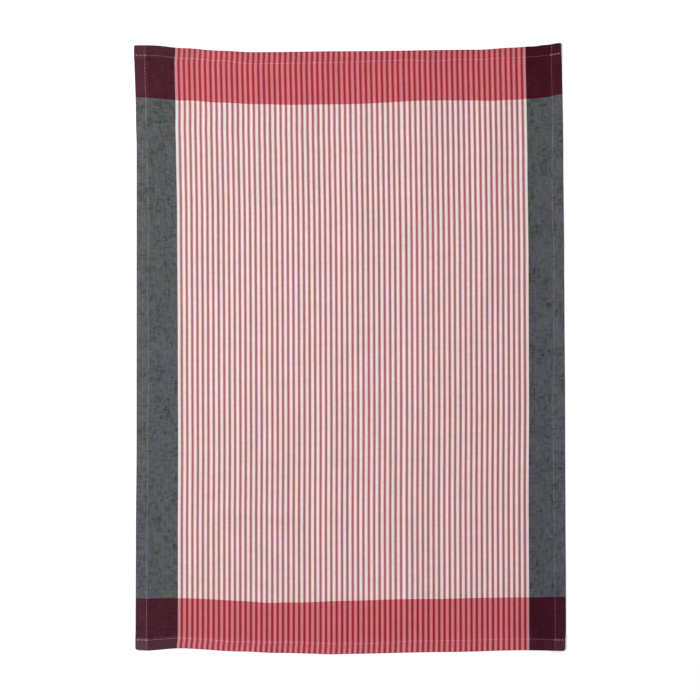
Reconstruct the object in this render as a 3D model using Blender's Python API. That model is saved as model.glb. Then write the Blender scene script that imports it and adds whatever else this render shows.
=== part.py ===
"""A tea towel of yarn-dyed plain-weave cotton, lying flat with its face up.

The towel is one cut of cloth, hemmed on all four sides: each raw edge is turned
in and turned under again, so the rim is three layers thick and each corner is
nine layers, pressed flat. It is one closed solid, in metres. +X runs across the
towel, +Y runs up its length, +Z is up, and the underside lies on z = 0.
"""

import math

import bpy
import bmesh

# Driving sizes of the finished towel
WIDTH = 0.497
LENGTH = 0.700
HEM_WIDTH = 0.0145

# Heights of the pressed layers above the surface that the towel lies on
CLOTH_HEIGHT = 0.0011
HEM_HEIGHT = 0.0021
CORNER_HEIGHT = 0.0031
HEM_SLOPE = 0.0025  # how far the face takes to drop from the hem to the single layer
EDGE_ROUND = 0.0008  # how far in the folded edge reaches its full height
EDGE_SHARE = 0.55  # share of its full height that the cloth has right at the edge

# Spacing of the mesh on the single layer, between the hems
MESH_STEP = 0.0105

# How the four edges lie. Each row is a place along the edge, and how far the edge
# lies outside a true rectangle of WIDTH by LENGTH there, all in metres.
TOP_EDGE = (
    # (x, outside)
    (-0.2485, 0.0003),
    (-0.2280, 0.0003),
    (-0.1900, -0.0029),
    (-0.1500, -0.0059),
    (-0.1090, -0.0075),
    (0.0000, -0.0064),
    (0.1500, -0.0047),
    (0.1900, -0.0025),
    (0.2140, -0.0009),
    (0.2300, 0.0008),
    (0.2485, 0.0030),
)
BOTTOM_EDGE = (
    # (x, outside)
    (-0.2485, -0.0022),
    (-0.2340, -0.0016),
    (-0.1980, -0.0039),
    (-0.1270, -0.0003),
    (-0.0850, 0.0014),
    (-0.0200, 0.0027),
    (0.1130, 0.0003),
    (0.1970, -0.0017),
    (0.2485, -0.0011),
)
LEFT_EDGE = (
    # (y, outside)
    (-0.3500, -0.0008),
    (-0.2220, -0.0012),
    (-0.1060, -0.0020),
    (0.2300, -0.0021),
    (0.2640, -0.0013),
    (0.3500, 0.0008),
)
RIGHT_EDGE = (
    # (y, outside)
    (-0.3500, 0.0009),
    (-0.0830, -0.0002),
    (0.1020, -0.0013),
    (0.2170, -0.0023),
    (0.3500, -0.0039),
)

# The soft folds that ironing left. Each row is one low ridge between two points: its
# ends, its height and how far it takes to fall to the left and to the right of someone
# who walks from the first end to the second, all in metres.
FOLDS = (
    # (x1, y1, x2, y2, height, left, right)
    (0.0165, -0.0340, 0.0255, -0.0960, 0.0015, 0.010, 0.028),  # slants down from the middle
    (0.0370, -0.1080, 0.0515, -0.1770, 0.0011, 0.010, 0.028),
    (0.0650, -0.2000, 0.0735, -0.2730, 0.0018, 0.010, 0.028),
    (-0.0530, -0.0055, -0.0190, -0.0045, 0.0021, 0.022, 0.009),  # across, at half the length
    (-0.1400, -0.1880, -0.0750, -0.1890, 0.0018, 0.022, 0.011),
    (0.1630, 0.2450, 0.1650, 0.0600, 0.0016, 0.022, 0.036),
    (-0.1830, 0.1800, -0.1830, 0.0700, 0.0009, 0.012, 0.018),
    (-0.1500, 0.3480, -0.1380, 0.2700, 0.0013, 0.024, 0.024),  # the top edge lifts where it dips
    (0.1950, 0.3500, 0.1830, 0.2800, 0.0011, 0.024, 0.024),
    (-0.0250, -0.3500, -0.0200, -0.2850, 0.0012, 0.024, 0.024),  # and the bottom edge
)
FOLD_END = 0.030  # how far a fold takes to run out past its end
LIES_FLAT = 0.00015  # lift below this is pressed down onto the surface

CLOTH_COLOUR = (0.56, 0.30, 0.30, 1.0)  # red and white stripes, seen as one colour
CLOTH_ROUGHNESS = 0.92


def smooth_step(share):
    """0 at 0 and 1 at 1, level at both ends."""
    share = min(max(share, 0.0), 1.0)
    return share * share * (3.0 - 2.0 * share)


def read_edge(table, place):
    """How far an edge lies outside its straight line, eased from row to row."""
    if place <= table[0][0]:
        return table[0][1]
    for (start, low), (end, high) in zip(table, table[1:]):
        if place <= end:
            return low + (high - low) * smooth_step((place - start) / (end - start))
    return table[-1][1]


def lay_point(x, y):
    """Where a point of the true rectangle lies once the edges have drawn it out of square."""
    rightward = 0.5 + x / WIDTH
    upward = 0.5 + y / LENGTH
    push_x = rightward * read_edge(RIGHT_EDGE, y) - (1.0 - rightward) * read_edge(LEFT_EDGE, y)
    push_y = upward * read_edge(TOP_EDGE, x) - (1.0 - upward) * read_edge(BOTTOM_EDGE, x)
    return x + push_x, y + push_y


def cloth_height(inset_x, inset_y):
    """Height of the face over the underside, from how far in the point is from two edges."""
    end_of_slope = HEM_WIDTH + 0.5 * HEM_SLOPE
    hem_x = smooth_step((end_of_slope - inset_x) / HEM_SLOPE)
    hem_y = smooth_step((end_of_slope - inset_y) / HEM_SLOPE)
    height = CLOTH_HEIGHT
    height += (HEM_HEIGHT - CLOTH_HEIGHT) * max(hem_x, hem_y)
    height += (CORNER_HEIGHT - HEM_HEIGHT) * hem_x * hem_y
    at_edge = min(inset_x, inset_y) / EDGE_ROUND
    return height * (EDGE_SHARE + (1.0 - EDGE_SHARE) * min(at_edge, 1.0))


def fold_lift(x, y):
    """How far the highest fold there lifts the cloth off the surface."""
    lift = 0.0
    for x1, y1, x2, y2, height, left, right in FOLDS:
        run_x, run_y = x2 - x1, y2 - y1
        length = math.hypot(run_x, run_y)
        along = ((x - x1) * run_x + (y - y1) * run_y) / length
        leftward = ((y - y1) * run_x - (x - x1) * run_y) / length
        past_end = max(-along, along - length, 0.0)
        ridge = 1.0 - smooth_step(max(leftward / left, -leftward / right))
        lift = max(lift, height * ridge * (1.0 - smooth_step(past_end / FOLD_END)))
    return max(lift - LIES_FLAT, 0.0)


def mesh_lines(full):
    """Places of the mesh lines across one side: close together over each hem, even between."""
    half = 0.5 * full
    hem_end = HEM_WIDTH + 0.5 * HEM_SLOPE
    edge = [0.0, EDGE_ROUND, HEM_WIDTH - 0.5 * HEM_SLOPE, hem_end]
    middle = full - 2.0 * hem_end
    count = round(middle / MESH_STEP)
    between = [hem_end + middle * step / count for step in range(1, count)]
    insets = edge + between + [full - inset for inset in reversed(edge)]
    return [inset - half for inset in insets]


def make_cloth():
    """The cloth as one closed solid: a face and an underside, joined by the folded edge."""
    columns = mesh_lines(WIDTH)
    rows = mesh_lines(LENGTH)
    mesh = bmesh.new()
    face = {}
    underside = {}
    for i, x in enumerate(columns):
        for j, y in enumerate(rows):
            lift = fold_lift(x, y)
            height = cloth_height(0.5 * WIDTH - abs(x), 0.5 * LENGTH - abs(y))
            laid_x, laid_y = lay_point(x, y)
            face[i, j] = mesh.verts.new((laid_x, laid_y, lift + height))
            underside[i, j] = mesh.verts.new((laid_x, laid_y, lift))

    for i in range(len(columns) - 1):
        for j in range(len(rows) - 1):
            square = [(i, j), (i + 1, j), (i + 1, j + 1), (i, j + 1)]
            mesh.faces.new([face[at] for at in square])
            mesh.faces.new([underside[at] for at in reversed(square)])

    last_i, last_j = len(columns) - 1, len(rows) - 1
    rim = [(i, 0) for i in range(last_i)]
    rim += [(last_i, j) for j in range(last_j)]
    rim += [(i, last_j) for i in range(last_i, 0, -1)]
    rim += [(0, j) for j in range(last_j, 0, -1)]
    for here, there in zip(rim, rim[1:] + rim[:1]):
        mesh.faces.new([underside[here], underside[there], face[there], face[here]])

    xs = [vertex.co.x for vertex in mesh.verts]
    ys = [vertex.co.y for vertex in mesh.verts]
    to_centre = (-0.5 * (min(xs) + max(xs)), -0.5 * (min(ys) + max(ys)), 0.0)
    bmesh.ops.translate(mesh, verts=mesh.verts, vec=to_centre)
    data = bpy.data.meshes.new("towel_cloth")
    mesh.to_mesh(data)
    mesh.free()
    return data


def cotton():
    material = bpy.data.materials.new("striped_cotton")
    material.use_nodes = True
    shader = material.node_tree.nodes["Principled BSDF"]
    shader.inputs["Base Color"].default_value = CLOTH_COLOUR
    shader.inputs["Roughness"].default_value = CLOTH_ROUGHNESS
    shader.inputs["Metallic"].default_value = 0.0
    return material


for old in list(bpy.data.objects):
    bpy.data.objects.remove(old, do_unlink=True)

towel = bpy.data.objects.new("towel_cloth", make_cloth())
towel.data.materials.append(cotton())
towel.data.shade_smooth()
bpy.context.scene.collection.objects.link(towel)
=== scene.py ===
"""The looks of a tea towel: striped, yarn-dyed cotton with double-turned hems, laid out flat."""

import math

import bpy
import numpy as np
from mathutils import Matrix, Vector, noise


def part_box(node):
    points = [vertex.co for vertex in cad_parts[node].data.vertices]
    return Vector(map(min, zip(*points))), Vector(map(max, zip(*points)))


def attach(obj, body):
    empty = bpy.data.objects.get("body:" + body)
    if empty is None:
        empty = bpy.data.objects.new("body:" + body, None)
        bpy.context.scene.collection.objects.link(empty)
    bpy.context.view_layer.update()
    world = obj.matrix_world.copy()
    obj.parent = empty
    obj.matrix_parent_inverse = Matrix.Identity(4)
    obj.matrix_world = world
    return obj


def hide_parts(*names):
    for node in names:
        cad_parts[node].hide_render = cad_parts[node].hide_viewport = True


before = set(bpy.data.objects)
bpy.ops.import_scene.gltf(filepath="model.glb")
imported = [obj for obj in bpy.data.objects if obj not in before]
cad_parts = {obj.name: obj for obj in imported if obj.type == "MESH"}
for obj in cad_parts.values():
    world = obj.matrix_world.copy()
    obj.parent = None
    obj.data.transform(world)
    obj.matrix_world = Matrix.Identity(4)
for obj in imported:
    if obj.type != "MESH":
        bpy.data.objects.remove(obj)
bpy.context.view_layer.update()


# ---------------------------------------------------------------------------
# The cloth: one cut of plain-weave cotton, dark side bands and red and white stripes in
# its warp, a red band at each end in its white weft. Each raw edge is turned in twice
# and sewn, the long sides first, and the whole is pressed and laid face up.

WIDTH = 0.497  # finished, metres
LENGTH = 0.700
HEM = 0.0145  # finished hem
TURN_IN = 0.010  # raw edge turned in first, hidden inside the hem
CUT_LENGTH = LENGTH + 2.0 * (HEM + TURN_IN)
HALF_WIDTH = 0.5 * WIDTH
HALF_LENGTH = 0.5 * LENGTH

CLOTH = 0.00036  # thickness of one layer
LAYER = 0.00038  # from one pressed layer to the next
CLEARANCE = 0.00034  # under the lowest layer, which lies on the stitches
HEM_SLOPE = 0.0068  # over which the face drops from the hem to the single layer
SIDE_FOLD_SPREAD = 2.4  # how wide a fold through one layer is, in thicknesses
CORNER_FOLD_SPREAD = 0.7  # and through the three layers of a corner
CORNER_ROUND = 0.0035  # how far along its edges a corner is rounded
CORNER_PULL = (
    # how strongly, as a share: (left, right)
    (0.18, 0.30),  # bottom
    (0.08, 0.10),  # top
)
HEM_END = (0.326, 0.339)  # metres up or down, between which the right hem is drawn in
HEM_END_DRAW = 0.0010  # and how far

# How the four edges lie: a place along the edge, and how far the edge lies outside
# a true rectangle of WIDTH by LENGTH there, all in metres.
TOP_EDGE = (
    # (x, outside)
    (-0.2485, 0.0003),
    (-0.2280, 0.0003),
    (-0.1900, -0.0029),
    (-0.1500, -0.0059),
    (-0.1090, -0.0075),
    (0.0000, -0.0064),
    (0.1500, -0.0047),
    (0.1900, -0.0025),
    (0.2140, -0.0009),
    (0.2300, 0.0008),
    (0.2485, 0.0030),
)
BOTTOM_EDGE = (
    # (x, outside)
    (-0.2485, -0.0022),
    (-0.2340, -0.0016),
    (-0.1980, -0.0039),
    (-0.1270, -0.0003),
    (-0.0850, 0.0014),
    (-0.0200, 0.0027),
    (0.1130, 0.0003),
    (0.1970, -0.0017),
    (0.2485, -0.0011),
)
LEFT_EDGE = (
    # (y, outside)
    (-0.3500, -0.0008),
    (-0.2220, -0.0012),
    (-0.1060, -0.0020),
    (0.2300, -0.0021),
    (0.2640, -0.0013),
    (0.3500, 0.0008),
)
RIGHT_EDGE = (
    # (y, outside)
    (-0.3500, 0.0009),
    (-0.0830, -0.0002),
    (0.1020, -0.0013),
    (0.2170, -0.0023),
    (0.3500, -0.0039),
)

# The folds that ironing left: each a low ridge between two points, and how far it takes
# to fall to the left and to the right of someone who walks from the first to the second.
FOLDS = (
    # (x1, y1, x2, y2, height, left, right)
    (0.0165, -0.0340, 0.0255, -0.0960, 0.0015, 0.010, 0.028),  # slants down from the middle
    (0.0370, -0.1080, 0.0515, -0.1770, 0.0011, 0.010, 0.028),
    (0.0650, -0.2000, 0.0735, -0.2730, 0.0018, 0.010, 0.028),
    (-0.0530, -0.0055, -0.0190, -0.0045, 0.0021, 0.022, 0.009),  # across, at half the length
    (-0.1400, -0.1880, -0.0750, -0.1890, 0.0018, 0.022, 0.011),
    (0.1630, 0.2450, 0.1650, 0.0600, 0.0016, 0.022, 0.036),
    (-0.1830, 0.1800, -0.1830, 0.0700, 0.0009, 0.012, 0.018),
    (-0.1500, 0.3480, -0.1380, 0.2700, 0.0013, 0.024, 0.024),  # the top edge lifts where it dips
    (0.1950, 0.3500, 0.1830, 0.2800, 0.0011, 0.024, 0.024),
    (-0.0250, -0.3500, -0.0200, -0.2850, 0.0012, 0.024, 0.024),  # and the bottom edge
)
FOLD_END = 0.030  # how far a fold takes to run out past its end
LIES_FLAT = 0.00015  # lift below this is pressed down onto the surface
# Soft unevenness of the whole cloth: the size of its swells and their height.
SWELLS = ((0.055, 0.00022), (0.021, 0.00010), (0.011, 0.00009))
# The seams draw up the hems, which swell more, and small puckers along each row.
HEM_SWELL_SIZE = 0.024
HEM_SWELL_HEIGHT = 0.00035
HEM_SWELL_REACH = 0.012  # how far inside the seam it ends
PUCKER_LENGTH = 0.0085
PUCKER_HEIGHT = 0.00022
PUCKER_REACH = 0.0045  # on either side of the seam
SEAM_PINCH = 0.14  # share by which a row of stitches presses the layers together
SEAM_PINCH_REACH = 0.0009

# How far in from each finished edge its row of stitches runs.
LEFT_SEAM = (
    # (y, inset)
    (-0.3500, 0.0124),
    (-0.2500, 0.0124),
    (-0.2000, 0.0130),
    (-0.1000, 0.0124),
    (-0.0600, 0.0136),
    (0.0200, 0.0136),
    (0.0520, 0.0128),
    (0.1550, 0.0137),
    (0.2100, 0.0122),
    (0.2500, 0.0116),
    (0.3500, 0.0117),
)
RIGHT_SEAM = (
    # (y, inset)
    (-0.3500, 0.0121),
    (-0.2500, 0.0127),
    (-0.2260, 0.0117),
    (-0.1900, 0.0133),
    (-0.0600, 0.0138),
    (-0.0100, 0.0121),
    (0.1000, 0.0117),
    (0.1600, 0.0131),
    (0.2000, 0.0130),
    (0.2700, 0.0118),
    (0.3500, 0.0121),
)
TOP_SEAM = (
    # (x, inset)
    (-0.2485, 0.0118),
    (-0.1450, 0.0116),
    (-0.1150, 0.0134),
    (-0.0200, 0.0132),
    (0.0370, 0.0116),
    (0.0740, 0.0110),
    (0.1000, 0.0128),
    (0.1290, 0.0113),
    (0.2485, 0.0123),
)
BOTTOM_SEAM = (
    # (x, inset)
    (-0.2485, 0.0120),
    (-0.1110, 0.0113),
    (-0.0750, 0.0127),
    (0.0000, 0.0119),
    (0.0370, 0.0113),
    (0.0600, 0.0131),
    (0.1480, 0.0132),
    (0.2485, 0.0127),
)


def eased(share):
    """0 up to 0 and 1 from 1 on, level at both ends."""
    share = np.clip(share, 0.0, 1.0)
    return share * share * (3.0 - 2.0 * share)


def read_table(table, place):
    """The value of a two-column table at each place, eased from row to row."""
    places, values = np.array(table).T
    row = np.clip(np.searchsorted(places, place) - 1, 0, len(places) - 2)
    share = eased((place - places[row]) / (places[row + 1] - places[row]))
    return values[row] + (values[row + 1] - values[row]) * share


def lay_out(x, y):
    """Where a point of the true rectangle lies once its edges are drawn out of square."""
    rightward = 0.5 + x / WIDTH
    upward = 0.5 + y / LENGTH
    push_x = rightward * read_table(RIGHT_EDGE, y) - (1.0 - rightward) * read_table(LEFT_EDGE, y)
    push_y = upward * read_table(TOP_EDGE, x) - (1.0 - upward) * read_table(BOTTOM_EDGE, x)
    from_side = np.clip(1.0 - (HALF_WIDTH - np.abs(x)) / CORNER_ROUND, 0.0, 1.0)
    from_end = np.clip(1.0 - (HALF_LENGTH - np.abs(y)) / CORNER_ROUND, 0.0, 1.0)
    strength = np.array(CORNER_PULL)[(y > 0.0).astype(int), (x > 0.0).astype(int)]
    pull = strength * CORNER_ROUND * from_side**2 * from_end**2
    # Both ends of the right hem are drawn in towards its seam.
    start, end = HEM_END
    to_right_edge = eased((x - HALF_WIDTH + HEM) / HEM)
    push_x -= HEM_END_DRAW * to_right_edge * eased((np.abs(y) - start) / (end - start))
    return x + push_x - np.sign(x) * pull, y + push_y - np.sign(y) * pull


def noise_at(x, y, size, layer):
    """Smooth noise from -1 to 1 with swells of one size, the same on every run."""
    spots = zip(np.ravel(x) / size, np.ravel(y) / size)
    values = [noise.noise(Vector((across, along, layer))) for across, along in spots]
    return np.array(values).reshape(np.shape(x))


def fold_lift(x, y):
    """How far the highest fold lifts the cloth there."""
    lift = np.zeros(np.shape(x))
    for x1, y1, x2, y2, height, left, right in FOLDS:
        run_x, run_y = x2 - x1, y2 - y1
        length = math.hypot(run_x, run_y)
        along = ((x - x1) * run_x + (y - y1) * run_y) / length
        leftward = ((y - y1) * run_x - (x - x1) * run_y) / length
        past_end = np.maximum(np.maximum(-along, along - length), 0.0)
        ridge = 1.0 - eased(np.maximum(leftward / left, -leftward / right))
        lift = np.maximum(lift, height * ridge * (1.0 - eased(past_end / FOLD_END)))
    return np.maximum(lift - LIES_FLAT, 0.0)


def from_seams(x, y):
    """How far inside the nearer side seam and end seam a point of the rectangle lies."""
    side_seam = np.where(x < 0.0, read_table(LEFT_SEAM, y), read_table(RIGHT_SEAM, y))
    end_seam = np.where(y < 0.0, read_table(BOTTOM_SEAM, x), read_table(TOP_SEAM, x))
    return HALF_WIDTH - np.abs(x) - side_seam, HALF_LENGTH - np.abs(y) - end_seam


def seam_nearness(x, y, reach):
    """1 on a seam, falling to nothing a few times the reach away."""
    side, end = from_seams(x, y)
    return np.maximum(np.exp(-((side / reach) ** 2)), np.exp(-((end / reach) ** 2)))


def rise(x, y):
    """How far the lowest layer lies above its resting height, at a point of the rectangle."""
    lift = fold_lift(x, y)
    for layer, (size, height) in enumerate(SWELLS):
        lift += height * np.maximum(noise_at(x, y, size, float(layer)), 0.0)
    near_edge = 1.0 - eased(np.minimum(*from_seams(x, y)) / HEM_SWELL_REACH)
    hem_swell = np.maximum(noise_at(x, y, HEM_SWELL_SIZE, 11.0), 0.0)
    lift += HEM_SWELL_HEIGHT * near_edge * hem_swell
    puckers = 0.5 + 0.5 * noise_at(x, y, PUCKER_LENGTH, 7.0)
    return lift + PUCKER_HEIGHT * puckers * seam_nearness(x, y, PUCKER_REACH)


def turn_hem(past_edge, stack, height):
    """Turns cloth twice at its edge.

    past_edge is how far along the cloth a point is past the finished edge, stack the
    thickness of what is turned and height the point's own height in that stack. It
    returns how far inside the finished edge the point comes to lie, and how high."""
    thick = (stack - LAYER) / (2.0 * LAYER)
    spread = SIDE_FOLD_SPREAD + (CORNER_FOLD_SPREAD - SIDE_FOLD_SPREAD) * thick
    outer = spread * (1.5 * stack - 0.5 * LAYER)
    inner = spread * (stack - 0.5 * LAYER)
    angle = (np.clip(past_edge / outer, -1.0, 1.0) + 1.0) * 0.5 * math.pi
    inset = np.abs(past_edge)
    in_fold = np.abs(past_edge) < outer
    folded = outer - spread * (0.5 * stack + height) * np.sin(angle)
    inset = np.where(in_fold, folded, inset)
    up = 1.5 * stack + (0.5 * stack + height) * np.cos(angle)
    back = (np.clip((past_edge - HEM) / inner, -1.0, 1.0) + 1.0) * 0.5 * math.pi
    in_back = np.abs(past_edge - HEM) < inner
    inset = np.where(in_back, HEM - inner + spread * height * np.sin(back), inset)
    inset = np.where(past_edge >= HEM + inner, 2.0 * HEM - past_edge, inset)
    up = np.where(past_edge > HEM - inner, stack - height * np.cos(back), up)
    # Past the hem the face comes down to lie in one thickness.
    under = 1.0 - eased((inset - HEM) / HEM_SLOPE)
    up = np.where(past_edge < 0.0, up - 2.0 * stack * (1.0 - under), up)
    return inset, up


def fold_cloth(u, v):
    """Where a point of the flat cut comes to lie in the finished towel.

    u and v are metres across and up the cut from its middle. It returns x and y in
    the true rectangle, and the point's place in the laid-out towel."""
    inset_x, up_x = turn_hem(np.abs(u) - HALF_WIDTH, np.full(np.shape(u), LAYER), 0.5 * LAYER)
    stack = LAYER * (3.0 - 2.0 * eased((inset_x - HEM) / HEM_SLOPE))
    inset_y, up = turn_hem(np.abs(v) - HALF_LENGTH, stack, up_x)
    x = np.sign(u) * (HALF_WIDTH - inset_x)
    y = np.sign(v) * (HALF_LENGTH - inset_y)
    up = up * (1.0 - SEAM_PINCH * seam_nearness(x, y, SEAM_PINCH_REACH))
    laid_x, laid_y = lay_out(x, y)
    return x, y, laid_x + TO_CENTRE[0], laid_y + TO_CENTRE[1], CLEARANCE + up + rise(x, y)


def centring():
    """What brings the middle of the laid-out towel to the middle of its frame."""
    across = np.linspace(-HALF_WIDTH, HALF_WIDTH, 400)
    along = np.linspace(-HALF_LENGTH, HALF_LENGTH, 400)
    sides = [lay_out(np.full(400, side * HALF_WIDTH), along)[0] for side in (-1, 1)]
    ends = [lay_out(across, np.full(400, end * HALF_LENGTH))[1] for end in (-1, 1)]
    low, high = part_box("towel_cloth")
    middle_x = 0.5 * (low[0] + high[0])
    middle_y = 0.5 * (low[1] + high[1])
    return (
        middle_x - 0.5 * (sides[0].min() + sides[1].max()),
        middle_y - 0.5 * (ends[0].min() + ends[1].max()),
    )


TO_CENTRE = centring()

# Mesh lines over a hem, as metres past the finished edge: close at the folds and the seam.
HEM_LINES = (
    (HEM + TURN_IN, HEM + 0.0065, HEM + 0.0030, HEM + 0.0014)
    + (HEM + 0.0007, HEM + 0.00035, HEM + 0.00015, HEM, HEM - 0.00015, HEM - 0.00035)
    + (0.0138, 0.0131, 0.0124, 0.0117, 0.0108, 0.0085, 0.0055, 0.0030, 0.0016)
    + (0.00106, 0.00080, 0.00053, 0.00027, 0.0, -0.00027, -0.00053, -0.00080, -0.00106)
    + (-0.0018, -0.0035, -0.0060, -0.0085, -0.0101, -0.0110, -0.0117, -0.0124, -0.0131)
    + (-0.0138, -0.0145, -0.0157, -0.0170, -0.0183, -0.0196)
)
MESH_STEP = 0.0044  # between the hems


def cut_lines(full):
    """Mesh lines across the flat cut from edge to edge."""
    lines = [-0.5 * full - past for past in HEM_LINES]
    middle = full + 2.0 * HEM_LINES[-1]
    count = round(middle / MESH_STEP)
    lines += [-0.5 * middle + middle * step / count for step in range(1, count)]
    lines += [0.5 * full + past for past in reversed(HEM_LINES)]
    return np.array(lines)


# How the yarns wander in the weave: a place, and how far the line has drifted there.
LEFT_LINE = -0.20174  # where the left dark band meets the stripes
RIGHT_LINE = 0.20624
TOP_LINE = 0.2897  # where the top red band begins
BOTTOM_LINE = -0.2905
LEFT_DRIFT = (
    # (y, drift in x)
    (-0.3480, 0.0000),
    (-0.3380, 0.0010),
    (-0.2000, 0.0007),
    (0.0100, 0.0000),
    (0.1500, -0.0007),
    (0.2420, -0.0020),
    (0.2900, -0.0015),
    (0.3300, -0.0012),
    (0.3475, -0.0001),
)
RIGHT_DRIFT = (
    # (y, drift in x)
    (-0.3500, 0.0001),
    (-0.1900, 0.0001),
    (-0.0600, 0.0009),
    (0.0700, 0.0012),
    (0.3000, 0.0006),
    (0.3500, 0.0002),
)
SPACING_DRIFT = (
    # (x, drift in x)
    (-0.2015, 0.0009),
    (-0.1650, 0.0004),
    (-0.0900, -0.0001),
    (0.2070, -0.0001),
)
TOP_DRIFT = (
    # (x, drift in y)
    (-0.2485, 0.0000),
    (-0.2140, -0.0011),
    (-0.1540, -0.0002),
    (-0.1040, -0.0004),
    (-0.0650, -0.0013),
    (-0.0050, -0.0013),
    (0.0880, 0.0018),
    (0.1450, 0.0013),
    (0.1800, -0.0003),
    (0.2280, 0.0000),
    (0.2485, 0.0014),
)
BOTTOM_DRIFT = (
    # (x, drift in y)
    (-0.2485, 0.0002),
    (-0.2290, 0.0005),
    (-0.2000, -0.0012),
    (-0.1450, -0.0004),
    (-0.1000, -0.0015),
    (-0.0690, -0.0007),
    (-0.0100, 0.0021),
    (0.0600, 0.0026),
    (0.1000, 0.0020),
    (0.1400, 0.0026),
    (0.1950, 0.0017),
    (0.2485, 0.0025),
)


def yarn_place(cut_x, cut_y, x, y):
    """Metres across the warp and along it, from the first striped yarn and the first white
    one, for points of the flat cut that come to lie at x and y."""
    rightward = np.clip((x - LEFT_LINE) / (RIGHT_LINE - LEFT_LINE), 0.0, 1.0)
    drift_x = (1.0 - rightward) * read_table(LEFT_DRIFT, y)
    drift_x += rightward * read_table(RIGHT_DRIFT, y) + read_table(SPACING_DRIFT, x)
    upward = np.clip((y - BOTTOM_LINE) / (TOP_LINE - BOTTOM_LINE), 0.0, 1.0)
    drift_y = upward * read_table(TOP_DRIFT, x) + (1.0 - upward) * read_table(BOTTOM_DRIFT, x)
    return cut_x - drift_x - LEFT_LINE, cut_y - drift_y - BOTTOM_LINE


def add_map(mesh, name, across, along):
    """A UV map with one place for each vertex."""
    corner = np.empty(len(mesh.loops), dtype=int)
    mesh.loops.foreach_get("vertex_index", corner)
    layer = mesh.uv_layers.new(name=name)
    layer.data.foreach_set("uv", np.stack([across[corner], along[corner]], axis=1).ravel())


columns = cut_lines(WIDTH)
rows = cut_lines(LENGTH)
bpy.ops.object.select_all(action="DESELECT")
bpy.ops.mesh.primitive_grid_add(
    x_subdivisions=len(columns) - 1,
    y_subdivisions=len(rows) - 1,
    size=1.0,
    location=(0.0, 0.0, 0.0),
)
cloth = bpy.context.object
cloth.name = "striped_cloth"
cloth.data.name = "striped_cloth"
spots = np.empty(len(cloth.data.vertices) * 3)
cloth.data.vertices.foreach_get("co", spots)
spots = spots.reshape(-1, 3)
column = np.rint((spots[:, 0] + 0.5) * (len(columns) - 1)).astype(int)
row = np.rint((spots[:, 1] + 0.5) * (len(rows) - 1)).astype(int)
cut_x = columns[column]
cut_y = rows[row]
flat_x, flat_y, laid_x, laid_y, laid_z = fold_cloth(cut_x, cut_y)
cloth.data.vertices.foreach_set("co", np.stack([laid_x, laid_y, laid_z], axis=1).ravel())

# Three maps, in metres but for the last: "yarns" counts from the first striped yarn,
# "cut" from the middle of the flat cut, and OFBake spreads the cut over one square.
for old_map in list(cloth.data.uv_layers):
    cloth.data.uv_layers.remove(old_map)
add_map(cloth.data, "yarns", *yarn_place(cut_x, cut_y, flat_x, flat_y))
add_map(cloth.data, "cut", cut_x, cut_y)
add_map(cloth.data, "OFBake", 0.5 + cut_x / CUT_LENGTH, 0.5 + cut_y / CUT_LENGTH)

thicken = cloth.modifiers.new("cloth thickness", "SOLIDIFY")
thicken.thickness = CLOTH
thicken.offset = 0.0
bpy.ops.object.modifier_apply(modifier=thicken.name)
cloth.data.shade_smooth()

# The weave, counted in yarns so that every stripe has whole ones.
STRIPES = 65  # red stripes, with a white one on both sides of each
STRIPE_ENDS = 6  # warp yarns in a stripe
STRIPE_EDGE = 2.0  # how far dye has bled past a stripe's edge, in yarns
EXTRA_END = 507  # one white stripe was drawn in with a yarn too many
LAST_END = (2 * STRIPES + 1) * STRIPE_ENDS
WARP_PITCH = (RIGHT_LINE - LEFT_LINE) / (LAST_END + 1)  # from yarn to yarn, metres
WEFT_PITCH = 0.00055
LIGHT = 1.15  # what a white surface sends back under the lights, for true colours


def seen(red, green, blue):
    """The colour of a surface that is seen as these display values under the lights."""
    linear = []
    for value in (red, green, blue):
        value /= 255.0
        light = value / 12.92 if value <= 0.04045 else ((value + 0.055) / 1.055) ** 2.4
        linear.append(light / LIGHT)
    return (*linear, 1.0)


# Seen colours: where each warp crosses each weft, and of the three yarns alone.
CREAM = seen(251, 227, 224)  # white warp, white weft
OUTER_WHITE = seen(236, 227, 226)  # the white next to the dark bands
OUTER_PINK = seen(205, 141, 147)  # and that with red weft
ROSE = seen(168, 103, 111)  # red warp, white weft
GREY = seen(87, 89, 91)  # dark warp, white weft
PINK = seen(219, 129, 134)  # white warp, red weft
RED = seen(160, 38, 56)  # red warp, red weft
DEEP_RED = seen(152, 32, 50)  # and at the bottom end
MAROON = seen(72, 30, 42)  # dark warp, red weft
WHITE_YARN = seen(244, 232, 226)
RED_YARN = seen(165, 34, 52)
DARK_YARN = seen(60, 62, 65)
YARN_SHARE = 0.16  # how far each yarn's own colour shows where it lies on top
# The right-hand band is a little darker.
DEEP_GREY = seen(82, 84, 88)
DEEP_MAROON = seen(63, 16, 32)

# How much paler the yarns' red, green and blue are for each metre: up the towel in the
# dark bands, and across it, to the right, in the red stripes.
DARK_FADING = (0.15, 0.15, -0.07)
RED_FADING = (-0.12, -0.38, -0.30)
# Painted light and shade on the hems: a little of a pinkish white mixed in, more on the
# left towards the lamp, and a share of their own brightness, less on the top hem.
PAINTED_HEM_LIGHT = (1.6, 1.0, 1.25, 1.0)
LEFT_HEM_LIGHT = 0.0070
RIGHT_HEM_LIGHT = 0.0026
BOTTOM_HEM_LIGHT = 0.0032  # at its right end
BOTTOM_LEFT_LIGHT = 0.0090  # and this much more at its left one
CORNER_HEM_LIGHT = 0.0100
RIGHT_CORNER_SHARE = 0.7  # of that painted light, at the bottom right
TOP_HEM_LIGHT = 0.0060  # at its left end, and nothing at its right one
RIGHT_HEM_GAIN = 0.10
TOP_HEM_GAIN = -0.07
BOTTOM_HEM_GAIN = 0.035
HEM_BLUR = 0.0020  # over which that painted light begins
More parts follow.
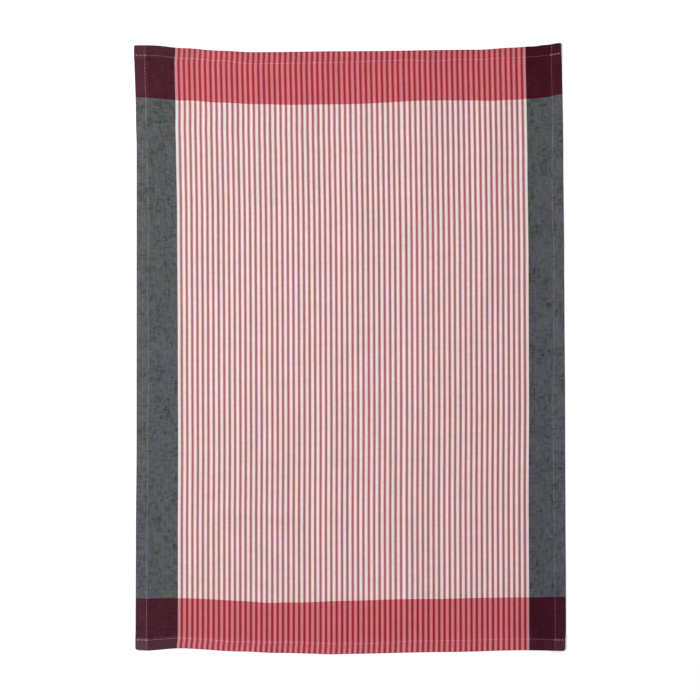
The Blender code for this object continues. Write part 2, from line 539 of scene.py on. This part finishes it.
# Painted shade along the folded edges of the ends: full up to the first distance from the
# fold, and none past the second.
FOLD_EDGE_SHADE = (0.0006, 0.0018)
FOLD_EDGE_SHADE_GAIN = -0.12


def wire(tree, value, socket):
    """Links a socket to an input, or sets the input to a plain value."""
    if isinstance(value, bpy.types.NodeSocket):
        tree.links.new(value, socket)
    else:
        socket.default_value = value


def calc(tree, operation, first, second=None, third=None, clamp=False):
    """One step of arithmetic on sockets or plain values."""
    node = tree.nodes.new("ShaderNodeMath")
    node.operation = operation
    node.use_clamp = clamp
    for value, socket in zip((first, second, third), node.inputs):
        if value is not None:
            wire(tree, value, socket)
    return node.outputs[0]


def mixed(tree, share, first, second, how="MIX"):
    """Two colours mixed by a share of the second."""
    node = tree.nodes.new("ShaderNodeMix")
    node.data_type = "RGBA"
    node.blend_type = how
    node.clamp_factor = False
    # These are the node's own sockets for a share and two colours.
    wire(tree, share, node.inputs[0])
    wire(tree, first, node.inputs[6])
    wire(tree, second, node.inputs[7])
    return node.outputs[2]


def joined(tree, red, green, blue):
    """One colour from three values."""
    node = tree.nodes.new("ShaderNodeCombineColor")
    for value, socket in zip((red, green, blue), node.inputs):
        wire(tree, value, socket)
    return node.outputs[0]


def apart(tree, vector):
    """The x and y of a vector."""
    node = tree.nodes.new("ShaderNodeSeparateXYZ")
    wire(tree, vector, node.inputs[0])
    return node.outputs[0], node.outputs[1]


def own_map(tree, name):
    """A place on the piece's own UV map of that name."""
    node = tree.nodes.new("ShaderNodeUVMap")
    node.uv_map = name
    return node.outputs[0]


def noise_texture(tree, place, across, along, detail=2.0, deep=0.0):
    """Noise whose features are across wide and along long, in metres."""
    scaled = tree.nodes.new("ShaderNodeVectorMath")
    scaled.operation = "MULTIPLY_ADD"
    wire(tree, place, scaled.inputs[0])
    scaled.inputs[1].default_value = (1.0 / across, 1.0 / along, 0.0)
    scaled.inputs[2].default_value = (deep, 1.7 * deep, 0.0)
    texture = tree.nodes.new("ShaderNodeTexNoise")
    texture.noise_dimensions = "2D"
    texture.inputs["Scale"].default_value = 1.0
    texture.inputs["Detail"].default_value = detail
    wire(tree, scaled.outputs[0], texture.inputs["Vector"])
    return texture.outputs["Fac"]


def node_group(name, takes, gives):
    """A new shader group with named float, vector or colour sockets."""
    tree = bpy.data.node_groups.new(name, "ShaderNodeTree")
    for label, kind in takes:
        tree.interface.new_socket(name=label, in_out="INPUT", socket_type=kind)
    for label, kind in gives:
        tree.interface.new_socket(name=label, in_out="OUTPUT", socket_type=kind)
    return tree, tree.nodes.new("NodeGroupInput").outputs, tree.nodes.new("NodeGroupOutput").inputs


def use_group(tree, group, **values):
    """The outputs of a shader group placed with these values."""
    node = tree.nodes.new("ShaderNodeGroup")
    node.node_tree = group
    for label, value in values.items():
        wire(tree, value, node.inputs[label.replace("_", " ")])
    return node.outputs


FLOAT, VECTOR, COLOUR = "NodeSocketFloat", "NodeSocketVector", "NodeSocketColor"


def make_plain_weave():
    """Which yarns cross at a place, which of them is on top, and how high it stands."""
    tree, takes, gives = node_group(
        "plain weave",
        [("Place", VECTOR), ("Warp Pitch", FLOAT), ("Weft Pitch", FLOAT)],
        [
            ("Warp Yarn", FLOAT),
            ("Weft Yarn", FLOAT),
            ("Warp On Top", FLOAT),
            ("Height", FLOAT),
        ],
    )
    place_x, place_y = apart(tree, takes["Place"])
    across = calc(tree, "DIVIDE", place_x, takes["Warp Pitch"])
    along = calc(tree, "DIVIDE", place_y, takes["Weft Pitch"])
    warp = calc(tree, "FLOOR", across)
    weft = calc(tree, "FLOOR", along)
    on_top = calc(tree, "FLOORED_MODULO", calc(tree, "ADD", warp, weft), 2.0)
    # A yarn is round across and rises over each crossing.
    hump_x = calc(tree, "SINE", calc(tree, "MULTIPLY", calc(tree, "FRACT", across), math.pi))
    hump_y = calc(tree, "SINE", calc(tree, "MULTIPLY", calc(tree, "FRACT", along), math.pi))
    height = calc(tree, "SQRT", calc(tree, "MULTIPLY", hump_x, hump_y))
    wire(tree, warp, gives["Warp Yarn"])
    wire(tree, weft, gives["Weft Yarn"])
    wire(tree, on_top, gives["Warp On Top"])
    wire(tree, height, gives["Height"])
    return tree


# The unevenness of spun yarn and of wear. Streaks run up the warp and bars across it,
# slubs lie along both ways of the weave, and clouds are where the cloth has worn. Each
# has a width and a length in metres, a fineness, a place in the noise, and how strongly
# it shows on the stripes and where dark warp crosses white weft.
YARN_FAULTS = (
    # (kind, across, along, detail, deep, on stripes, on dark)
    ("Streaks", 0.0080, 0.4500, 2.0, 3.1, 0.16, 0.12),
    ("Bars", 0.5000, 0.0110, 1.0, 37.3, 0.05, 0.04),
    ("Warp Slubs", 0.0024, 0.0090, 1.0, 11.7, 0.10, 0.68),
    ("Weft Slubs", 0.0090, 0.0024, 1.0, 17.9, 0.08, 0.62),
    ("Blotches", 0.0042, 0.0042, 2.0, 23.9, 0.10, 0.58),
    ("Patches", 0.0110, 0.0140, 1.0, 27.7, 0.07, 0.28),
    ("Clouds", 0.0210, 0.0280, 1.0, 31.3, 0.05, 0.42),
)
DYE_DRIFTS = (
    # (colour, deep, on stripes, on dark)
    ("Red", 5.3, 0.16, 0.05),
    ("Blue", 47.9, 0.26, 0.34),
)
DYE_STREAK = (0.0060, 0.3000)  # width and length, metres
DYE_PATCH = (0.0180, 0.0320)
DYE_PATCH_DEEPER = 8.0  # from the streaks, in the noise
RED_WEFT_PLAINNESS = 0.6  # how plainly the dark warp's faults show over red weft, as a share


def make_uneven_yarn():
    """The tone of the yarn: 1 where it is even, more where it is paler."""
    tree, takes, gives = node_group(
        "uneven yarn",
        [("Place", VECTOR)] + [(fault[0], FLOAT) for fault in YARN_FAULTS],
        [("Tone", FLOAT)],
    )
    shift = 0.0
    for label, across, along, detail, deep in [fault[:5] for fault in YARN_FAULTS]:
        wave = noise_texture(tree, takes["Place"], across, along, detail=detail, deep=deep)
        centred = calc(tree, "SUBTRACT", wave, 0.5)
        shift = calc(tree, "MULTIPLY_ADD", centred, takes[label], shift)
    # Thick dark slubs stand out more than thin pale places do.
    bent = calc(tree, "MULTIPLY_ADD", shift, -1.0, 1.0)
    wire(tree, calc(tree, "MULTIPLY_ADD", shift, bent, 1.0), gives["Tone"])
    return tree


def make_uneven_dye():
    """Slight drifts of hue from yarn to yarn and along them, as a colour to multiply by."""
    tree, takes, gives = node_group(
        "uneven dye",
        [("Place", VECTOR)] + [(drift[0], FLOAT) for drift in DYE_DRIFTS],
        [("Tint", COLOUR)],
    )
    tints = []
    for label, deep in [drift[:2] for drift in DYE_DRIFTS]:
        streaks = noise_texture(tree, takes["Place"], *DYE_STREAK, detail=1.0, deep=deep)
        deeper = deep + DYE_PATCH_DEEPER
        patches = noise_texture(tree, takes["Place"], *DYE_PATCH, detail=2.0, deep=deeper)
        both = calc(tree, "ADD", streaks, calc(tree, "SUBTRACT", patches, 1.0))
        tints.append(calc(tree, "MULTIPLY_ADD", both, takes[label], 1.0))
    wire(tree, joined(tree, tints[0], 1.0, tints[1]), gives["Tint"])
    return tree


def step_between(tree, value, start, end):
    """0 up to the start and 1 past the end, smooth between."""
    edge = tree.nodes.new("ShaderNodeMapRange")
    edge.interpolation_type = "SMOOTHSTEP"
    wire(tree, value, edge.inputs["Value"])
    edge.inputs["From Min"].default_value = start
    edge.inputs["From Max"].default_value = end
    return edge.outputs["Result"]


def red_share(tree, ends, softness):
    """1 on the red stripes and 0 on the white, at a place counted in warp yarns."""
    half_stripe = 0.5 * STRIPE_ENDS
    from_middle = calc(tree, "SUBTRACT", ends, half_stripe)
    from_white = calc(tree, "PINGPONG", from_middle, float(STRIPE_ENDS))
    return step_between(tree, from_white, half_stripe - softness, half_stripe + softness)


def without_extra(tree, ends):
    """The count of warp yarns, with the extra one left out."""
    past_extra = calc(tree, "SUBTRACT", ends, float(EXTRA_END), clamp=True)
    return calc(tree, "SUBTRACT", ends, past_extra)


def in_hem(tree, outward, half):
    """1 in the hem and 0 inside it, from how far out a place is and where the edge is."""
    start = half - HEM - 0.5 * HEM_BLUR
    return step_between(tree, outward, start, start + HEM_BLUR)


def faded(tree, colour, metres, change):
    """A colour whose red, green and blue change by these shares for each metre."""
    gains = [calc(tree, "MULTIPLY_ADD", metres, share, 1.0) for share in change]
    return mixed(tree, 1.0, colour, joined(tree, *gains), how="MULTIPLY")


def paint_hem_light(tree, colour, cut_x, cut_y):
    """The colour with painted light and shade on its hems, and painted shade along the folded
    edges of the ends.
    """
    in_left = in_hem(tree, calc(tree, "MULTIPLY", cut_x, -1.0), HALF_WIDTH)
    in_right = in_hem(tree, cut_x, HALF_WIDTH)
    in_bottom = in_hem(tree, calc(tree, "MULTIPLY", cut_y, -1.0), HALF_LENGTH)
    in_top = in_hem(tree, cut_y, HALF_LENGTH)

    # Painted shade on the top hem and painted light on the right and bottom hems.
    gain = calc(tree, "MULTIPLY", in_right, RIGHT_HEM_GAIN)
    gain = calc(tree, "MULTIPLY_ADD", in_top, TOP_HEM_GAIN, gain)
    gain = calc(tree, "MULTIPLY_ADD", in_bottom, BOTTOM_HEM_GAIN, gain)
    # Painted shade along the folded edges of the ends.
    from_fold = calc(tree, "SUBTRACT", calc(tree, "ABSOLUTE", cut_y), HALF_LENGTH)
    edge_shade = step_between(tree, calc(tree, "ABSOLUTE", from_fold), FOLD_EDGE_SHADE[1], FOLD_EDGE_SHADE[0])
    gain = calc(tree, "MULTIPLY_ADD", edge_shade, FOLD_EDGE_SHADE_GAIN, gain)
    colour = mixed(tree, gain, colour, colour, how="ADD")

    # Painted light mixed in as pinkish white, more towards the left and at the bottom corners.
    leftness = calc(tree, "MULTIPLY_ADD", cut_x, -1.0 / WIDTH, 0.5)
    bottom = calc(tree, "MULTIPLY_ADD", leftness, BOTTOM_LEFT_LIGHT, BOTTOM_HEM_LIGHT)
    hem_light = calc(tree, "MULTIPLY", in_bottom, bottom)
    top = calc(tree, "MULTIPLY", in_top, leftness)
    hem_light = calc(tree, "MULTIPLY_ADD", top, TOP_HEM_LIGHT, hem_light)
    hem_light = calc(tree, "MULTIPLY_ADD", in_left, LEFT_HEM_LIGHT, hem_light)
    hem_light = calc(tree, "MULTIPLY_ADD", in_right, RIGHT_HEM_LIGHT, hem_light)
    corners = calc(tree, "MULTIPLY_ADD", in_right, RIGHT_CORNER_SHARE, in_left)
    corners = calc(tree, "MULTIPLY", corners, in_bottom)
    hem_light = calc(tree, "MULTIPLY_ADD", corners, CORNER_HEM_LIGHT, hem_light)
    return mixed(tree, hem_light, colour, PAINTED_HEM_LIGHT)


def uneven(tree, group, kinds, place, plainness):
    """A group of faults, each between its strength on the stripes and on the dark warp."""
    strengths = {}
    for kind in kinds:
        on_stripes, on_dark = kind[-2:]
        more = on_dark - on_stripes
        strengths[kind[0]] = calc(tree, "MULTIPLY_ADD", plainness, more, on_stripes)
    return use_group(tree, group, Place=place, **strengths)


def make_striped_colour():
    """The colour of every place on the cloth, and how high its yarns stand there."""
    tree, takes, gives = node_group(
        "striped colour",
        [("Yarns", VECTOR), ("Cut", VECTOR)],
        [("Colour", COLOUR), ("Height", FLOAT)],
    )
    weave = use_group(
        tree,
        plain_weave,
        Place=takes["Yarns"],
        Warp_Pitch=WARP_PITCH,
        Weft_Pitch=WEFT_PITCH,
    )

    # Which warp: dark at both sides, and between them white and red by turns.
    across = apart(tree, takes["Yarns"])[0]
    ends = without_extra(tree, calc(tree, "DIVIDE", across, WARP_PITCH))
    yarn = without_extra(tree, calc(tree, "ADD", weave["Warp Yarn"], 0.5))
    is_right = calc(tree, "GREATER_THAN", ends, float(LAST_END))
    is_dark = calc(tree, "ADD", calc(tree, "LESS_THAN", ends, 0.0), is_right)
    from_middle = calc(tree, "ABSOLUTE", calc(tree, "SUBTRACT", ends, 0.5 * LAST_END))
    is_outer = calc(tree, "GREATER_THAN", from_middle, 0.5 * LAST_END - STRIPE_ENDS)
    is_red = red_share(tree, yarn, STRIPE_EDGE)
    # Which weft: red past the line at each end.
    picks = calc(tree, "MULTIPLY", calc(tree, "ADD", weave["Weft Yarn"], 0.5), WEFT_PITCH)
    below = calc(tree, "LESS_THAN", picks, 0.0)
    above = calc(tree, "GREATER_THAN", picks, TOP_LINE - BOTTOM_LINE)
    is_red_weft = calc(tree, "ADD", below, above)

    grey = mixed(tree, is_right, GREY, DEEP_GREY)
    maroon = mixed(tree, is_right, MAROON, DEEP_MAROON)
    white = mixed(tree, is_outer, CREAM, OUTER_WHITE)
    on_white = mixed(tree, is_dark, mixed(tree, is_red, white, ROSE), grey)
    red = mixed(tree, below, RED, DEEP_RED)
    pink = mixed(tree, is_outer, PINK, OUTER_PINK)
    on_red = mixed(tree, is_dark, mixed(tree, is_red, pink, red), maroon)
    crossing = mixed(tree, is_red_weft, on_white, on_red)
    light_warp = mixed(tree, is_red, WHITE_YARN, RED_YARN)
    warp_yarn = mixed(tree, is_dark, light_warp, DARK_YARN)
    weft_yarn = mixed(tree, is_red_weft, WHITE_YARN, RED_YARN)
    top_yarn = mixed(tree, weave["Warp On Top"], weft_yarn, warp_yarn)
    both_yarns = mixed(tree, 0.5, weft_yarn, warp_yarn)
    colour = mixed(tree, YARN_SHARE, crossing, top_yarn, how="ADD")
    colour = mixed(tree, YARN_SHARE, colour, both_yarns, how="SUBTRACT")

    cut_x, cut_y = apart(tree, takes["Cut"])
    colour = faded(tree, colour, calc(tree, "MULTIPLY", cut_y, is_dark), DARK_FADING)
    red_warp = calc(tree, "SUBTRACT", is_red, is_dark, clamp=True)
    colour = faded(tree, colour, calc(tree, "MULTIPLY", cut_x, red_warp), RED_FADING)

    # Uneven spinning, dyeing and wear, plainest where dark warp crosses white weft.
    on_weft = calc(tree, "MULTIPLY_ADD", is_red_weft, RED_WEFT_PLAINNESS - 1.0, 1.0)
    plainness = calc(tree, "MULTIPLY", is_dark, on_weft)

    tone = uneven(tree, uneven_yarn, YARN_FAULTS, takes["Yarns"], plainness)["Tone"]
    tint = uneven(tree, uneven_dye, DYE_DRIFTS, takes["Yarns"], plainness)["Tint"]
    colour = mixed(tree, 1.0, colour, joined(tree, tone, tone, tone), how="MULTIPLY")
    colour = mixed(tree, 1.0, colour, tint, how="MULTIPLY")
    wire(tree, paint_hem_light(tree, colour, cut_x, cut_y), gives["Colour"])
    wire(tree, weave["Height"], gives["Height"])
    return tree


plain_weave = make_plain_weave()
uneven_yarn = make_uneven_yarn()
uneven_dye = make_uneven_dye()
striped_colour = make_striped_colour()

# How the cotton catches the light.
FUZZ = 0.0009  # the size of its fuzz, metres
FUZZ_HEIGHT = 0.35  # beside that of a yarn
WEAVE_DEPTH = 0.00010  # metres
WEAVE_STRENGTH = 0.6
COTTON_ROUGHNESS = 0.84
FUZZ_ROUGHNESS = 0.12  # the most that the fuzz adds to it
COTTON_SHINE = 0.08
COTTON_SHEEN = 0.02
SHEEN_SPREAD = 0.5


def make_striped_cotton():
    """Matte cotton with the weave's colours and its relief."""
    material = bpy.data.materials.new("striped_cotton")
    material.use_nodes = True
    tree = material.node_tree
    shader = tree.nodes["Principled BSDF"]
    place = own_map(tree, "yarns")
    pattern = use_group(tree, striped_colour, Yarns=place, Cut=own_map(tree, "cut"))
    wire(tree, pattern["Colour"], shader.inputs["Base Color"])
    fuzz = noise_texture(tree, place, FUZZ, FUZZ, deep=41.0)
    rough = calc(tree, "MULTIPLY_ADD", fuzz, FUZZ_ROUGHNESS, COTTON_ROUGHNESS)
    wire(tree, rough, shader.inputs["Roughness"])
    relief = calc(tree, "MULTIPLY_ADD", fuzz, FUZZ_HEIGHT, pattern["Height"])
    bump = tree.nodes.new("ShaderNodeBump")
    bump.inputs["Strength"].default_value = WEAVE_STRENGTH
    bump.inputs["Distance"].default_value = WEAVE_DEPTH
    wire(tree, relief, bump.inputs["Height"])
    wire(tree, bump.outputs[0], shader.inputs["Normal"])
    shader.inputs["Specular IOR Level"].default_value = COTTON_SHINE
    shader.inputs["Sheen Weight"].default_value = COTTON_SHEEN
    shader.inputs["Sheen Roughness"].default_value = SHEEN_SPREAD
    return material


cloth.data.materials.append(make_striped_cotton())
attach(cloth, "root")
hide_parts("towel_cloth")


# ---------------------------------------------------------------------------
# The seams: one row of lockstitch round each hem, sewn through all its layers in a thin
# glossy thread that takes on the colours it lies on, with painted highlight and painted
# sheen in its colour. The long sides are sewn first, and each end seam starts and stops
# with a few stitches sewn over again.

STITCH = 0.0031  # its length, metres
STITCH_GAP = 0.0007  # from one to the next
STITCH_DIP = 0.30  # how far its ends dip into their holes, as a share of its thickness
# How blunt those ends are: 1 is as round as a ball, and less is blunter.
STITCH_POINT = 0.8  # along the stitch
STITCH_TAPER = 0.5  # and across it
THREAD = 0.00065  # thickness before it is pressed
THREAD_SINK = 0.16  # how much of that lies in the cloth
FACE_PRESSING = 0.7  # how thick the thread is left by pressing, as a share
BACK_PRESSING = 0.4
BACKTACK = 0.0125  # length that is sewn over again, twice, at each end of an end seam
BACKTACK_SHIFT = 0.00060
FOLD_GAP = 0.0016  # no stitch lies across a folded edge

THREAD_COLOUR = seen(103, 76, 86)
THREAD_TINT_AND_HIGHLIGHT = (1.45, 2.00, 1.82, 1.0)  # how much of the cloth's colour shows in it as well, partly a painted highlight along the seam
STRIPE_SINK = 0.32  # how far it is lost in the stripes at the bottom, as a share
# Painted sheen and light in the thread's colour, as shares of its brightness.
SIDE_PAINTED_SHEEN = 0.85  # how bright it is along the sides, as a share
END_PAINTED_SHEEN = 0.15  # how much brighter across the ends
LEFT_PAINTED_LIGHT = 1.2  # and there for each metre to the left of the middle, painted light from the lamp's side
TACK_PAINTED_SHEEN = 0.8  # and at the top right corner
PROUD_RUN = 0.0110  # over which some stitches lie prouder than the next ones, metres
PLY_SCALE = 900.0  # how closely its plies are twisted
PLY_DEPTH = 0.00005
PLY_STRENGTH = 0.5
THREAD_ROUGHNESS = 0.62
THREAD_SHINE = 0.3

SEAMS = {
    # edge: (insets, which way from the middle)
    "left": (LEFT_SEAM, -1.0),
    "right": (RIGHT_SEAM, 1.0),
    "bottom": (BOTTOM_SEAM, -1.0),
    "top": (TOP_SEAM, 1.0),
}

# One stitch, which is then laid everywhere along the seams.
bpy.ops.object.select_all(action="DESELECT")
bpy.ops.mesh.primitive_uv_sphere_add(segments=8, ring_count=7, radius=0.5)
pattern_stitch = bpy.context.object
bpy.ops.object.mode_set(mode="EDIT")
bpy.ops.mesh.select_all(action="SELECT")
bpy.ops.transform.rotate(
    value=0.5 * math.pi, orient_axis="Y", center_override=(0.0, 0.0, 0.0)
)
bpy.ops.object.mode_set(mode="OBJECT")
stitch_spots = np.array([vertex.co for vertex in pattern_stitch.data.vertices])
stitch_faces = [tuple(face.vertices) for face in pattern_stitch.data.polygons]
bpy.data.objects.remove(pattern_stitch, do_unlink=True)
# The ball is drawn out to a short length of thread that is full for most of it.
from_centre = 2.0 * stitch_spots[:, 0]
stitch_along = np.sign(from_centre) * np.abs(from_centre) ** STITCH_POINT
fatness = np.sqrt(np.maximum(1.0 - from_centre**2, 0.0))
full = np.maximum(fatness, 1e-6)
stitch_round = stitch_spots[:, 1:] / full[:, None] * (fatness**STITCH_TAPER)[:, None]


def on_cloth(u, v):
    """Points on the cloth's face over the flat cut's u and v, and the way out of it."""
    step = 0.0002
    here = np.stack(fold_cloth(u, v)[2:], axis=-1)
    ahead_u = np.stack(fold_cloth(u + step, v)[2:], axis=-1) - here
    ahead_v = np.stack(fold_cloth(u, v + step)[2:], axis=-1) - here
    out = np.cross(ahead_u, ahead_v)
    out /= np.linalg.norm(out, axis=-1, keepdims=True)
    return here + 0.5 * CLOTH * out, out


def stitch_points(edge, turned, start, end, shift=0.0):
    """Stitches along one edge's seam between two places, as u and v on the flat cut and
    height over it. They lie on the face, or on the layer that is turned under."""
    insets, way = SEAMS[edge]
    count = int((end - start + STITCH_GAP) / (STITCH + STITCH_GAP))
    pitch = (end - start + STITCH_GAP) / count
    middles = start + pitch * np.arange(count) + 0.5 * (pitch - STITCH_GAP)
    along = np.add.outer(middles, 0.5 * STITCH * stitch_along).ravel()
    inset = read_table(insets, along) + shift
    inset = -inset if turned else inset
    half = HALF_WIDTH if edge in ("left", "right") else HALF_LENGTH
    across = way * (half - inset) + np.tile(THREAD * stitch_round[:, 0], count)
    arch = THREAD * (stitch_round[:, 1] - STITCH_DIP * stitch_along**4)
    u, v = (across, along) if edge in ("left", "right") else (along, across)
    return u, v, np.tile(arch, count)


def sew(name, runs, pressing):
    """Rows of stitches as one mesh. Each run is what stitch_points takes."""
    u, v, arch = np.concatenate([stitch_points(*run) for run in runs], axis=1)
    surface, out = on_cloth(u, v)
    points = surface + out * (pressing * ((0.5 - THREAD_SINK) * THREAD + arch))[:, None]
    faces = []
    for first in range(0, len(u), len(stitch_spots)):
        faces += [tuple(first + spot for spot in face) for face in stitch_faces]
    mesh = bpy.data.meshes.new(name)
    mesh.from_pydata(points.tolist(), [], faces)
    mesh.update()
    x, y = fold_cloth(u, v)[:2]
    add_map(mesh, "yarns", *yarn_place(u, v, x, y))
    add_map(mesh, "cut", u, v)
    mesh.shade_smooth()
    piece = bpy.data.objects.new(name, mesh)
    bpy.context.scene.collection.objects.link(piece)
    bpy.ops.object.select_all(action="DESELECT")
    bpy.context.view_layer.objects.active = piece
    piece.select_set(True)
    bpy.ops.object.mode_set(mode="EDIT")
    bpy.ops.mesh.select_all(action="SELECT")
    bpy.ops.mesh.normals_make_consistent(inside=False)
    bpy.ops.object.mode_set(mode="OBJECT")
    return piece


def make_seam_thread():
    """Plied thread that shows something of the cloth it lies on, with painted highlight and sheen
    in its colour.
    """
    material = bpy.data.materials.new("seam_thread")
    material.use_nodes = True
    tree = material.node_tree
    shader = tree.nodes["Principled BSDF"]
    place = own_map(tree, "yarns")
    cut = own_map(tree, "cut")
    under = use_group(tree, striped_colour, Yarns=place, Cut=cut)["Colour"]
    # Some of the cloth's colour, and more of it as a painted highlight along the seam.
    tint_and_highlight = mixed(tree, 1.0, under, THREAD_TINT_AND_HIGHLIGHT, how="MULTIPLY")
    colour = mixed(tree, 1.0, THREAD_COLOUR, tint_and_highlight, how="ADD")
    # Some stitches are painted brighter, as if they lay prouder than others, and painted sheen and
    # light vary along the seams.
    proud = noise_texture(tree, place, PROUD_RUN, PROUD_RUN, detail=1.0, deep=61.0)
    cut_x, cut_y = apart(tree, cut)
    leftward = calc(tree, "MAXIMUM", calc(tree, "MULTIPLY", cut_x, -1.0), 0.0)
    more = calc(tree, "MULTIPLY_ADD", leftward, LEFT_PAINTED_LIGHT, END_PAINTED_SHEEN)
    at_end = calc(tree, "GREATER_THAN", calc(tree, "ABSOLUTE", cut_y), TOP_LINE)
    thread_sheen = calc(tree, "MULTIPLY_ADD", more, at_end, SIDE_PAINTED_SHEEN)
    in_right = in_hem(tree, cut_x, HALF_WIDTH)
    in_top = in_hem(tree, cut_y, HALF_LENGTH)
    at_corner = calc(tree, "MULTIPLY", in_right, in_top)
    thread_sheen = calc(tree, "MULTIPLY_ADD", at_corner, TACK_PAINTED_SHEEN, thread_sheen)
    painted_brightness = calc(tree, "MULTIPLY", calc(tree, "ADD", proud, 0.5), thread_sheen)
    colour = mixed(tree, 1.0, colour, joined(tree, painted_brightness, painted_brightness, painted_brightness), how="MULTIPLY")
    # It is partly lost in the stripes at the bottom.
    on_stripes = calc(tree, "LESS_THAN", calc(tree, "ABSOLUTE", cut_x), -LEFT_LINE)
    sunk = calc(tree, "MULTIPLY", calc(tree, "LESS_THAN", cut_y, BOTTOM_LINE), on_stripes)
    colour = mixed(tree, calc(tree, "MULTIPLY", sunk, STRIPE_SINK), colour, under)
    wire(tree, colour, shader.inputs["Base Color"])
    # The thread's plies twist round it.
    plies = tree.nodes.new("ShaderNodeTexWave")
    plies.wave_type = "BANDS"
    plies.bands_direction = "DIAGONAL"
    plies.inputs["Scale"].default_value = PLY_SCALE
    wire(tree, tree.nodes.new("ShaderNodeTexCoord").outputs["Object"], plies.inputs["Vector"])
    bump = tree.nodes.new("ShaderNodeBump")
    bump.inputs["Strength"].default_value = PLY_STRENGTH
    bump.inputs["Distance"].default_value = PLY_DEPTH
    wire(tree, plies.outputs["Fac"], bump.inputs["Height"])
    wire(tree, bump.outputs[0], shader.inputs["Normal"])
    shader.inputs["Roughness"].default_value = THREAD_ROUGHNESS
    shader.inputs["Specular IOR Level"].default_value = THREAD_SHINE
    return material


face_runs = []
back_runs = []
for edge in ("left", "right"):
    # The long sides run right up into the turned ends.
    end = HALF_LENGTH - FOLD_GAP
    face_runs.append((edge, False, -end, end))
    back_runs.append((edge, True, HEM - HALF_LENGTH, HALF_LENGTH - HEM))
    near = HALF_LENGTH + FOLD_GAP
    far = HALF_LENGTH + HEM - FOLD_GAP
    face_runs.append((edge, False, near, far))
    face_runs.append((edge, False, -far, -near))
for edge in ("bottom", "top"):
    # The ends are sewn over them, from edge to edge.
    side = HALF_WIDTH - FOLD_GAP
    face_runs.append((edge, False, -side, side))
    back_runs.append((edge, True, -side, side))
    for shift in (-BACKTACK_SHIFT, BACKTACK_SHIFT):
        face_runs.append((edge, False, -side, BACKTACK - side, shift))
        face_runs.append((edge, False, side - BACKTACK, side, shift))

thread = make_seam_thread()
# On the turned layers the cloth's own face looks down, so both sets lie on its face.
seams = [
    sew("seam_face", face_runs, FACE_PRESSING),
    sew("seam_back", back_runs, BACK_PRESSING),
]
for seam in seams:
    seam.data.materials.append(thread)
    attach(seam, "root")


# ---------------------------------------------------------------------------
# The studio: a plain pale floor, one large soft lamp high on the upper left with an
# even surround, and a camera straight above, square to the towel.

MM_PER_PIXEL = 1.156
FRAME_PIXELS = 700
TOWEL_CENTRE = (350.05, 348.58)  # pixels from the top left of the picture
LENS = 100.0  # millimetres
SENSOR = 36.0
FLOOR_COLOUR = (0.92, 0.92, 0.92, 1.0)
FLOOR_ROUGHNESS = 0.9
FLOOR_SHINE = 0.1
FLOOR_GLOW = 0.18
KEY_PLACE = (-0.71, 0.27, 1.74)
KEY_SIZE = 0.9
KEY_POWER = 27.0
SURROUND = 0.45
WHITE = (1.0, 1.0, 1.0, 1.0)

bpy.ops.object.select_all(action="DESELECT")
bpy.ops.mesh.primitive_plane_add(size=16.0, location=(0.0, 0.0, 0.0))
floor = bpy.context.object
floor.name = "floor"
floor_paint = bpy.data.materials.new("pale_floor")
floor_paint.use_nodes = True
floor_shader = floor_paint.node_tree.nodes["Principled BSDF"]
floor_shader.inputs["Base Color"].default_value = FLOOR_COLOUR
floor_shader.inputs["Roughness"].default_value = FLOOR_ROUGHNESS
floor_shader.inputs["Specular IOR Level"].default_value = FLOOR_SHINE
floor_shader.inputs["Emission Color"].default_value = WHITE
floor_shader.inputs["Emission Strength"].default_value = FLOOR_GLOW
floor.data.materials.append(floor_paint)

world = bpy.data.worlds.new("surround")
world.use_nodes = True
background = world.node_tree.nodes["Background"]
background.inputs["Color"].default_value = WHITE
background.inputs["Strength"].default_value = SURROUND
bpy.context.scene.world = world

bpy.ops.object.light_add(type="AREA", location=KEY_PLACE)
key = bpy.context.object
key.name = "key_lamp"
key.data.shape = "DISK"
key.data.size = KEY_SIZE
key.data.energy = KEY_POWER
key.rotation_euler = (-Vector(KEY_PLACE)).to_track_quat("-Z", "Y").to_euler()

# The towel's middle lies a little off the middle of the picture.
pixel = 0.001 * MM_PER_PIXEL
half_frame = 0.5 * FRAME_PIXELS
camera_x = pixel * (half_frame - TOWEL_CENTRE[0])
camera_y = pixel * (TOWEL_CENTRE[1] - half_frame)
camera_height = pixel * FRAME_PIXELS * LENS / SENSOR
bpy.ops.object.camera_add(location=(camera_x, camera_y, camera_height))
camera = bpy.context.object
camera.name = "camera"
camera.rotation_euler = (0.0, 0.0, 0.0)
camera.data.lens = LENS
camera.data.sensor_width = SENSOR
bpy.context.scene.camera = camera
bpy.context.scene.view_settings.view_transform = "Standard"
